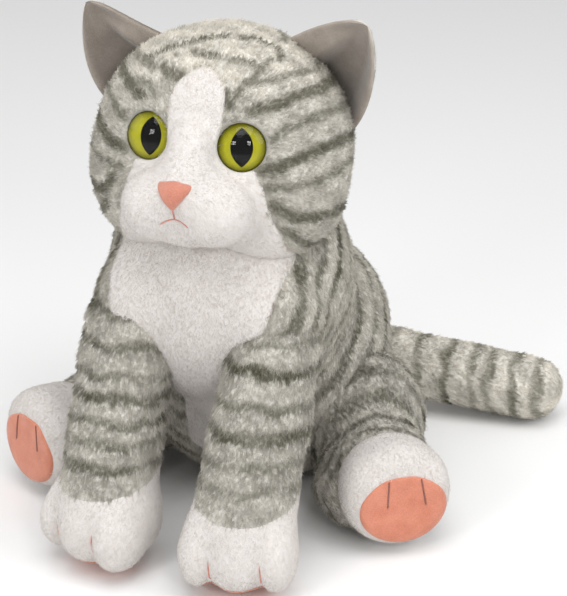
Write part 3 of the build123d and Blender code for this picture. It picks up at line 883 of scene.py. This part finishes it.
def tail_coat(p, out):
    marks = [(22, 5, 0.7), (38, 5, 0.7), (55, 5, 0.7), (73, 5, 0.75), (90, 5.5, 0.95), (106, 5, 0.8),
             (116, 5, 0.8), (131, 5.5, 0.85), (145, 5.5, 0.8)]
    stripe = bands(p, p[:, 0] + 0.08 * (p[:, 2] - 20), marks, 91)
    coat = grey_coat(p, stripe, 93)
    # the tail is lifted in tone overall; painted shade darkens it within 10 mm of the floor
    return coat * (1.22 - 0.3 * smooth(10, 2, p[:, 2]))[:, None]


# ---------------------------------------------------------------- thin pieces
def grid_quads(rows, cols):
    i, j = np.meshgrid(np.arange(rows - 1), np.arange(cols - 1), indexing="ij")
    a = (i * cols + j).ravel()
    return np.stack([a, a + 1, a + cols + 1, a + cols], 1)


def leaf(name, front, back, mat):
    """A closed form between two grids of points, with a wall round their edges."""
    rows, cols = front.shape[:2]
    points = np.concatenate([front.reshape(-1, 3), back.reshape(-1, 3)])
    quads = grid_quads(rows, cols)
    rim = ([(0, j) for j in range(cols)] + [(i, cols - 1) for i in range(1, rows)]
           + [(rows - 1, j) for j in range(cols - 2, -1, -1)] + [(i, 0) for i in range(rows - 2, 0, -1)])
    ring = np.array([i * cols + j for i, j in rim])
    after = np.roll(ring, -1)
    n = rows * cols
    wall = np.stack([ring, ring + n, after + n, after], 1)
    return mesh_object(name, points, np.concatenate([quads[:, ::-1], quads + n, wall[:, ::-1]]), mat)


def even(line, gap=1.0, least=4, lengths=False):
    """A line again with points about gap apart, and on request the length run at each."""
    line = np.asarray(line, float)
    seg = np.linalg.norm(np.diff(line, axis=0), axis=1)
    at = np.concatenate([[0], np.cumsum(seg)])
    s = np.linspace(0, at[-1], max(least, int(at[-1] / gap)))
    path = np.stack([np.interp(s, at, line[:, i]) for i in range(3)], 1)
    return (path, s) if lengths else path


def tube(name, line, radius, mat, ply=2, turns=0.9):
    """Twisted thread laid along a line."""
    path, s = even(line, 0.35, 8, lengths=True)
    count = len(s)
    tangent = unit(np.gradient(path, axis=0))
    side = unit(np.cross(tangent, np.array([0.31, 0.2, 0.93])))
    up = np.cross(side, tangent)
    points, faces = [], []
    ring = 8
    for strand in range(ply):
        turn = s * turns * 2 * math.pi / (4 * radius) + strand * 2 * math.pi / ply
        centre = path + 0.45 * radius * (np.cos(turn)[:, None] * side + np.sin(turn)[:, None] * up)
        start = sum(len(x) for x in points)
        thin = radius * 0.62 * np.minimum(1, np.minimum(s, s[-1] - s) / radius * 0.8 + 0.35)
        rings = np.stack([centre + thin[:, None] * (math.cos(k) * side + math.sin(k) * up)
                          for k in np.arange(ring) * 2 * math.pi / ring], 1)
        points.append(rings.reshape(-1, 3))
        points.append(centre[[0, -1]])
        i, j = np.meshgrid(np.arange(count - 1), np.arange(ring), indexing="ij")
        a, b = (i * ring + j).ravel(), (i * ring + (j + 1) % ring).ravel()
        faces += [[start + w, start + x, start + x + ring, start + w + ring] for w, x in zip(b, a)]
        cap = start + count * ring
        last = start + (count - 1) * ring
        for k in range(ring):
            faces.append([start + k, start + (k + 1) % ring, cap])
            faces.append([last + (k + 1) % ring, last + k, cap + 1])
    return mixed_object(name, np.concatenate(points), faces, mat)


# ---------------------------------------------------------------- camera, light and floor
AIM = HEAD + (26.9, 17.4, -95)
CAMERA_AZIMUTH, CAMERA_ELEVATION, CAMERA_DISTANCE = 19.0, 23.0, 1100


def aim_at(obj, azimuth, elevation, distance):
    """Puts a camera or lamp at that distance from AIM, in degrees round and up, and turns it to AIM."""
    obj.location = (AIM + heading(math.radians(azimuth), math.radians(elevation)) * distance) / 1000
    obj.rotation_euler = (Vector(AIM / 1000) - obj.location).to_track_quat("-Z", "Y").to_euler()


camera = linked("camera", bpy.data.cameras.new("camera"))
bpy.context.scene.camera = camera
camera.data.lens = 121.5
camera.data.clip_start = 0.05
aim_at(camera, CAMERA_AZIMUTH, CAMERA_ELEVATION, CAMERA_DISTANCE)


def area_light(name, azimuth, elevation, distance, size, power):
    data = bpy.data.lights.new(name, "AREA")
    data.energy, data.size = power, size
    aim_at(linked(name, data), azimuth, elevation, distance * 1000)


area_light("key", -14, 25, 1.4, 0.31, 3.3)
area_light("window", 34, 27, 1.4, 0.24, 2.3)
area_light("side", 80, 35, 1.4, 0.8, 4.8)
area_light("fill", -75, 25, 1.6, 1.0, 1.8)
area_light("top", 18, 72, 1.4, 1.1, 11)
world = bpy.data.worlds.new("studio")
world.use_nodes = True
sky = world.node_tree.nodes["Background"].inputs
sky["Color"].default_value, sky["Strength"].default_value = (1.0, 1.0, 1.0, 1), 0.57
bpy.context.scene.world = world
bpy.context.scene.view_settings.view_transform = "Standard"

FLOOR = 6000  # half its width
floor_mat = principled("floor", "floor", Roughness=0.9, Base_Color=(0.88, 0.88, 0.88, 1))[0]
floor_points = np.array([[-FLOOR, -FLOOR, 0], [FLOOR, -FLOOR, 0], [FLOOR, FLOOR, 0], [-FLOOR, FLOOR, 0]], float)
floor = mesh_object("floor", floor_points, np.array([[0, 1, 2, 3]]), floor_mat)

# ---------------------------------------------------------------- build
SHORT = {"white": True, "height": 0.16, "pile_length": 1.9}  # the smooth white of face and feet
plush("torso_plush", "torso", "grey_plush", ["torso_shell", "torso_stuffing", "pellet_bag", "closing_seam"],
              torso_shape, (-78, -122, 0), (78, 102, 200), 1.45, down, torso_coat, 101, outer=torso_outside)
plush("chest_plush", "torso", "white_plush", ["chest_panel"], chest_shape,
              (-54, -122, 0), (54, -24, 192), 1.3, down, white_coat, 102, white=True, outer=chest_outside)


def neck_shape(p):
    return both(ball(p, HEAD, 68.0), p[2] - (HEAD[2] - 50), 8)


plush("neck_plush", "neck", "grey_plush", ["neck_collar"], neck_shape,
             HEAD - (72, 72, 72), HEAD + (72, 72, -45), 1.8, down,
             lambda p, out: np.where((p[:, 1] < HEAD[1] - 20)[:, None], white_coat(p, out),
                                     grey_coat(p, np.zeros(len(p)), 44)), 103, hairs=False, height=0.6)

plush("head_plush", "head", "grey_plush", ["head_shell", "head_stuffing"], head_shape,
             HEAD - (76, 70, 70), HEAD + (76, 70, 70), 1.2, face_flow, head_coat, 104, outer=head_outside)
plush("face_plush", "head", "white_plush", ["face_blaze", "jaw_panel", "muzzle_shell", "muzzle_stuffing"],
             face_shape, HEAD - (56, 84, 72), HEAD + (56, 0, 62), 1.0, face_flow, white_coat, 105,
             outer=face_outside, **SHORT)

for side in SIDES:
    sleeve = sleeve_form(side)
    low, high = SHOULDER[side] - (32, 64, 100), SHOULDER[side] + (32, 32, 32)

    def shape(p, sleeve=sleeve):
        return both(sleeve(p), 40 - p[2], 5)

    plush(side + "_foreleg_plush", side + "_foreleg", "grey_plush",
          [side + "_foreleg_sleeve", side + "_foreleg_stuffing"], shape, low, high, 1.15,
          along_limb(SHOULDER[side], WRIST[side]), foreleg_coat(side), 110 + SIDES[side],
          outer=lambda q, out: smooth(CUFF - 3, CUFF, q[:, 2] - CUFF_SLOPE * (q[:, 1] - PAW[side][1]))
          * smooth(-5, -2, torso_form(columns(q))))
    low, high = PAW[side] - (40, 42, 28), PAW[side] + (40, 42, 34)
    plush(side + "_forepaw_plush", side + "_foreleg", "white_plush", [side + "_forepaw"],
          forepaw_shape(side), low, high, 1.0,
          lambda q: np.tile(from_paw(side, 0, -1, -0.7) - PAW[side], (len(q), 1)),
          white_coat, 120 + SIDES[side], **SHORT,
          outer=lambda q, out: smooth(0.5, 3, q[:, 2])
          * smooth(CUFF + 1, CUFF - 3, q[:, 2] - CUFF_SLOPE * (q[:, 1] - PAW[side][1])))

    plush(side + "_hindleg_plush", side + "_hindleg", "grey_plush",
          [side + "_hindleg_sleeve", side + "_hindleg_stuffing"], leg_form(side),
          np.minimum(HIP[side] - 44, FOOT[side] - 34), np.maximum(HIP[side] + 44, FOOT[side] + 34), 1.2,
          along_limb(HIP[side], FOOT[side]), hindleg_coat(side), 130 + SIDES[side],
          outer=lambda q, out: smooth(-6, -3, torso_form(columns(q))) * smooth(-4, -1, foot_form(side)(columns(q)))
          * smooth(0.5, 6, q[:, 2]))
    plush(side + "_hind_foot_plush", side + "_hindleg", "white_plush", [side + "_hind_foot"],
          foot_form(side), FOOT[side] - 36, FOOT[side] + 36, 1.0,
          lambda q: np.tile(LOOK[side] + (0, 0, -0.3), (len(q), 1)), white_coat, 140 + SIDES[side],
          **SHORT,
          outer=lambda q, out: smooth(-4, -1, leg_form(side)(columns(q)))
          * smooth(-1.5, 0.5, sole_form(side)(columns(q))) * smooth(0.5, 3, q[:, 2]))

plush("tail_base_plush", "tail_base", "grey_plush", ["tail_base_sleeve", "tail_base_stuffing"], tail_base_form,
      TAIL_ROOT - (22, 24, 34), TAIL_KNEE + (24, 26, 26), 1.15, along_limb(TAIL_ROOT, TAIL_KNEE), tail_coat, 151,
      pile_length=3.2,
      outer=lambda q, out: smooth(-5, -2, torso_form(columns(q))) * smooth(0.5, 6, q[:, 2])
      * smooth(-4, -1, tail_tip_form(columns(q))))
plush("tail_tip_plush", "tail_tip", "grey_plush", ["tail_tip_sleeve", "tail_tip_stuffing"], tail_tip_form,
      TAIL_KNEE - (22, 24, 30), TAIL_TIP + (24, 24, 24), 1.15, along_limb(TAIL_KNEE, TAIL_TIP), tail_coat, 152,
      pile_length=3.2,
      outer=lambda q, out: smooth(0.5, 6, q[:, 2]))

# ---------------------------------------------------------------- sole pads and paw pads
def toe_lines(name, lines, radius, mat, body, stitching):
    """Two threads, of which the first stands for the CAD's stitching."""
    for suffix, line, stands_for in (("", lines[0], [stitching]), ("_outer", lines[1], [])):
        finish_piece(tube(name + suffix, line, radius, mat), body, stands_for)


for side, sign in SIDES.items():
    points, faces = skin(sole_form(side), FOOT[side] - 36, FOOT[side] + 36, 0.9)
    pad = mesh_object(side + "_sole_velour", points, faces, CORAL_VELOUR)
    finish_piece(pad, side + "_hindleg", [side + "_sole_pad"])
    strands = []
    for shift, lean in ((-8.5, -1.0), (9.0, 2.5)):
        line = [FOOT[side] + ACROSS[side] * (shift + lean * t + 2.0 * sign) + RISE[side] * (11.5 - 15 * t)
                + LOOK[side] * 18 for t in np.linspace(0, 1, 9)]
        strands.append(settle(even(line), sole_form(side), 0.1))
    toe_lines(side + "_sole_thread", strands, 0.5, GREY_THREAD, side + "_hindleg",
              side + "_hind_foot_stitching")

    def pad_shape(p, side=side):
        q = paw_local(p, side)
        oval = (np.sqrt((q[0] / 21) ** 2 + ((q[1] + 4) / 24) ** 2) - 1) * 21
        surface = paw_form(side)(p)
        return both(both(oval, p[2] - 9, 2), np.maximum(surface - 0.7, -(surface + 2.5)), 1.2)

    points, faces = skin(pad_shape, PAW[side] - (34, 42, 27), PAW[side] + (34, 34, -12), 0.9)
    under = mesh_object(side + "_forepaw_velour", points, faces, CORAL_VELOUR)
    finish_piece(under, side + "_foreleg", [side + "_forepaw_pad"])
    lines = []
    for shift in (-13.3, 13.3):
        line = [from_paw(side, shift, -28 + 9 * t * t, -19 + 32 * t) for t in np.linspace(0, 1, 9)]
        lines.append(settle(even(line), paw_form(side), 0.1))
    toe_lines(side + "_toe_thread", lines, 0.42, CORAL_THREAD, side + "_foreleg",
              side + "_forepaw_stitching")

# ---------------------------------------------------------------- ears
EAR_PLAN = {  # lower and upper corner, tip, height, half width, bow and skew
    "left": (69.2, 11.5, 29.4, 61.5, 75.5, 65.4, 52.8, 29.9, 2.0, 6.1),
    "right": (70.1, 5.8, 29.0, 52.0, 78.4, 68.1, 54.0, 29.6, 5.9, 3.2),
}
for side, sign in SIDES.items():
    low_x, low_z, high_x, high_z, tip_x, tip_z, ear_tall, ear_wide, bow, skew = EAR_PLAN[side]
    lower = HEAD + (sign * low_x, 15, low_z)
    upper = HEAD + (sign * high_x, 14, high_z)
    tip = HEAD + (sign * tip_x, -4, tip_z)
    base = (lower + upper) / 2
    chord = unit(upper - lower)
    rise = unit((tip - base) - chord * ((tip - base) @ chord))
    behind = np.cross(chord, rise) * sign
    if behind[1] < 0:
        behind = -behind
    rows, cols = 45, 57
    t, s = np.meshgrid(np.linspace(0, 1, rows), np.linspace(-1, 1, cols), indexing="ij")  # root to tip, and across
    tall = ear_tall * t - 7 - 9 * (1 - t) ** 3
    wide = ear_wide * (1 - t**1.5) ** 0.7
    lean = ((tip - base) @ chord) * t - bow * np.sin(math.pi * t) - skew * (1 - t)
    round_back = 11 * (1 - np.abs(s) ** 2.2) * (1 - t**2) ** 0.8 + 2.0 * t
    turned = smooth(0.5, 0.16, s)  # 0 on the band that folds forward along the upper edge
    turned = 1 - (1 - turned) * (1 - smooth(0.5, 0.85, t))
    hollow = 3.5 * (1 - s) * (1 - turned) + 10.5 * turned * smooth(-1.0, -0.3, s) * smooth(1.0, 0.5, s)
    depth = hollow * (1 - t**2) ** 0.8 + 2.0 * t
    plane = base + chord * (lean + wide * s)[..., None] + rise * tall[..., None]
    edge = np.minimum(1 - np.abs(s), 1 - t)
    body = np.clip(edge / 0.16, 0, 1)
    body = np.sqrt(body * (2 - body))
    front = plane + behind * (depth - 1.6 * body)[..., None]
    mid = plane + behind * depth[..., None]
    back = plane + behind * (np.maximum(depth, round_back) + 1.8 * body)[..., None]
    lining = leaf(side + "_ear_velour", front, mid, EAR_VELOUR)
    # painted shade: the ear lining is darker in the hollow of its cup, most near the base; the folded band and the
    # edges keep the full colour
    ear_hollow = turned * smooth(1.0, 0.75, s) * smooth(-1.0, -0.7, s)
    ear_painted_shade = 1.0 - 0.3 * ear_hollow * (1 - 0.5 * smooth(0.4, 0.9, t)) - 0.25 * ear_hollow * smooth(0.45, 0.1, t)
    give_tint(lining, np.repeat(np.concatenate([ear_painted_shade.ravel(), ear_painted_shade.ravel()])[:, None], 3, 1))
    finish_piece(lining, side + "_ear", [side + "_ear_lining"])
    cover = leaf(side + "_ear_plush", mid, back, GREY_SKIN)
    co = np.zeros(len(cover.data.vertices) * 3, np.float32)
    cover.data.vertices.foreach_get("co", co)
    co = co.reshape(-1, 3).astype(float) * 1000
    stripe = bands(co, (co - base) @ rise, [(12, 5, 0.5), (26, 5, 0.6), (39, 4, 0.5)], 48)
    tint = grey_coat(co, stripe, 47) * 0.95
    give_tint(cover, tint)
    finish_piece(cover, side + "_ear", [side + "_ear_back"])
    sheet = back.reshape(-1, 3)
    normal = unit(np.cross(np.gradient(back, axis=1), np.gradient(back, axis=0)).reshape(-1, 3))
    normal *= np.sign((normal @ behind))[:, None]
    flow = np.tile(rise, (len(sheet), 1))
    flow = unit(flow - normal * (flow * normal).sum(1, keepdims=True))
    hub, number, _ = tufts(sheet, flow, 3.0, 2.0, 160)
    keep = smooth(0.0, 0.2, edge).ravel()
    pile(side + "_ear_plush_pile", side + "_ear", sheet, grid_quads(rows, cols), normal, flow, tint[rows * cols:],
         1.2 + 2.0 * smooth(0.05, 0.45, edge).ravel(), keep, hub, GREY_HAIR, 170 + sign,
         per_mm=1.7, lift=0.3, gather=0.4, width=0.12, vary=0.08)

# ---------------------------------------------------------------- nose and mouth
NOSE = MUZZLE + (2.0, -20, 13.3)


def nose_shape(p):
    x, z = np.abs(p[0] - NOSE[0]), p[2] - NOSE[2]
    side_line = (x - 11.0 - 0.8 * (z - 4.5)) * 0.8
    outline = both(side_line, z - 5.6 - 0.5 * np.cos(x * 0.45), 4.0)
    surface = face_shape(p)
    proud = 0.8 + 2.0 * np.clip(1 - (x / 10) ** 2 - ((z + 0.5) / 9) ** 2, 0, 1)
    return both(outline, np.maximum(surface - proud, -(surface + 3)), 2.4)


points, faces = skin(nose_shape, NOSE - (14, 14, 16), NOSE + (14, 14, 14), 0.5)
nose = mesh_object("nose_velour", points, faces, NOSE_VELOUR)
finish_piece(nose, "head", ["nose"])
mouth = settle(even([NOSE + (0, -4, -9), NOSE + (0, -4, -16.5)], 0.8), face_shape, 0.1)
finish_piece(tube("mouth_thread", mouth, 0.42, CORAL_THREAD), "head", ["mouth_stitching"])
for side, sign in SIDES.items():
    arm = settle(even([NOSE + (0, -4, -16.5), NOSE + (sign * 3.2, -4, -17.6), NOSE + (sign * 6, -4, -19.6)], 0.8),
                 face_shape, 0.1)
    finish_piece(tube(side + "_mouth_thread", arm, 0.4, CORAL_THREAD), "head", [])


# ---------------------------------------------------------------- eyes
def hard(name, scale, low, high, **inputs):
    """A hard material with a barely visible mottle between two colours."""
    mat, nodes, links, shader, place = principled(name, name, **inputs)
    tone, _ = speckle(nodes, links, place, scale, 2, (0.3, low), (0.7, high))
    links.new(tone, shader.inputs["Base Color"])
    return mat


def iris_material(side):
    """Yellow-green paint that darkens to olive at the rim, with fine flecks."""
    mat, nodes, links, paint, place = principled(
        side + "_iris_paint", "iris_paint", Roughness=0.6, Specular_IOR_Level=0.1)
    centre = nodes.new("ShaderNodeVectorMath")
    centre.operation = "DISTANCE"
    centre.inputs[1].default_value = tuple(EYE[side] / 1000)
    links.new(place.outputs["Object"], centre.inputs[0])
    ratio = node(nodes, "ShaderNodeMath", operation="DIVIDE")
    ratio.inputs[1].default_value = EYE_RADIUS / 1000
    links.new(centre.outputs["Value"], ratio.inputs[0])
    tone = ramp(nodes, links, ratio.outputs[0],
                [(0.0, srgb(214, 210, 40)), (0.66, srgb(206, 202, 34)), (0.86, srgb(168, 164, 20)),
                 (0.96, srgb(92, 90, 14))])
    fleck, _ = speckle(nodes, links, place, 500.0, 3, (0.3, (0.86, 0.86, 0.8)), (0.7, (1, 1, 1)))
    links.new(multiply(nodes, links, tone.outputs["Color"], fleck), paint.inputs["Base Color"])
    return mat


def lathe(name, centre, axis, profile, mat, segments=72):
    """A closed form turned about an axis.  The profile is (radius, height), from the axis round to the axis."""
    side = unit(np.cross(axis, (0.0, 0.0, 1.0)))
    up = np.cross(side, axis)
    turn = np.arange(segments) * 2 * math.pi / segments
    ring = np.cos(turn)[:, None] * side + np.sin(turn)[:, None] * up
    profile = np.array(profile)
    inner = profile[1:-1]
    points = np.concatenate([(centre + ring * r + axis * h) for r, h in inner]
                            + [(centre + axis * profile[0][1])[None], (centre + axis * profile[-1][1])[None]])
    n = len(inner) * segments
    faces = []
    for i in range(len(inner) - 1):
        for j in range(segments):
            k = (j + 1) % segments
            faces.append([i * segments + j, i * segments + k, (i + 1) * segments + k, (i + 1) * segments + j])
    for j in range(segments):
        k = (j + 1) % segments
        faces.append([n, k, j])
        last = (len(inner) - 1) * segments
        faces.append([last + j, last + k, n + 1])
    return mixed_object(name, points, faces, mat)


lens_mat = hard("clear_lens", 400.0, (0.97, 0.98, 0.95), (1, 1, 1),
                Roughness=0.02, Transmission_Weight=1.0, IOR=1.36)
pupil_mat = hard("pupil_paint", 600.0, (0.001,) * 3, (0.003,) * 3, Roughness=0.9, Specular_IOR_Level=0.0)
hardware = hard("eye_hardware", 300.0, (0.02,) * 3, (0.03,) * 3, Roughness=0.45)
for side, sign in SIDES.items():
    for part in ("shank", "washer"):
        for s in frame["nodes"][f"{side}_eye_{part}"].material_slots:
            s.material = hardware
    look = EYE_LOOK[side]
    dome = (EYE_RADIUS**2 + DOME_BULGE**2) / (2 * DOME_BULGE)
    cap = [(dome * math.sin(a), 1.4 + dome * math.cos(a) - dome + DOME_BULGE)
           for a in np.linspace(0, math.asin(EYE_RADIUS / dome), 22)]
    lens = lathe(side + "_eye_dome", EYE[side], look,
                 cap + [(EYE_RADIUS, -0.3), (EYE_RADIUS - 0.3, -0.9), (0, -0.9)], lens_mat)
    finish_piece(lens, "head", [side + "_eye_lens"])
    iris = lathe(side + "_eye_disc", EYE[side], look,
                 [(0, -0.5), (4, -0.45), (8, -0.2), (11.2, 0.0), (12.0, -0.1), (12.1, -0.6), (12.0, -1.6),
                  (0, -1.6)],
                 iris_material(side))
    finish_piece(iris, "head", [side + "_eye_iris"])
    across = unit(np.cross((0, 0, 1), look))
    rise = np.cross(look, across)
    h, w = np.meshgrid(np.linspace(-1, 1, 33), np.linspace(-1, 1, 17), indexing="ij")
    slit = PUPIL_HALF_WIDTH * (1 - np.abs(h) ** 2.1) ** 0.9 * w
    flat = (across * slit[..., None] + rise * (PUPIL_HALF_HEIGHT * h)[..., None]
            + EYE[side] + across * PUPIL_SHIFT[side])
    pupil = leaf(side + "_eye_slit", flat + look * 0.08, flat - look * 0.4, pupil_mat)
    finish_piece(pupil, "head", [side + "_eye_pupil"])
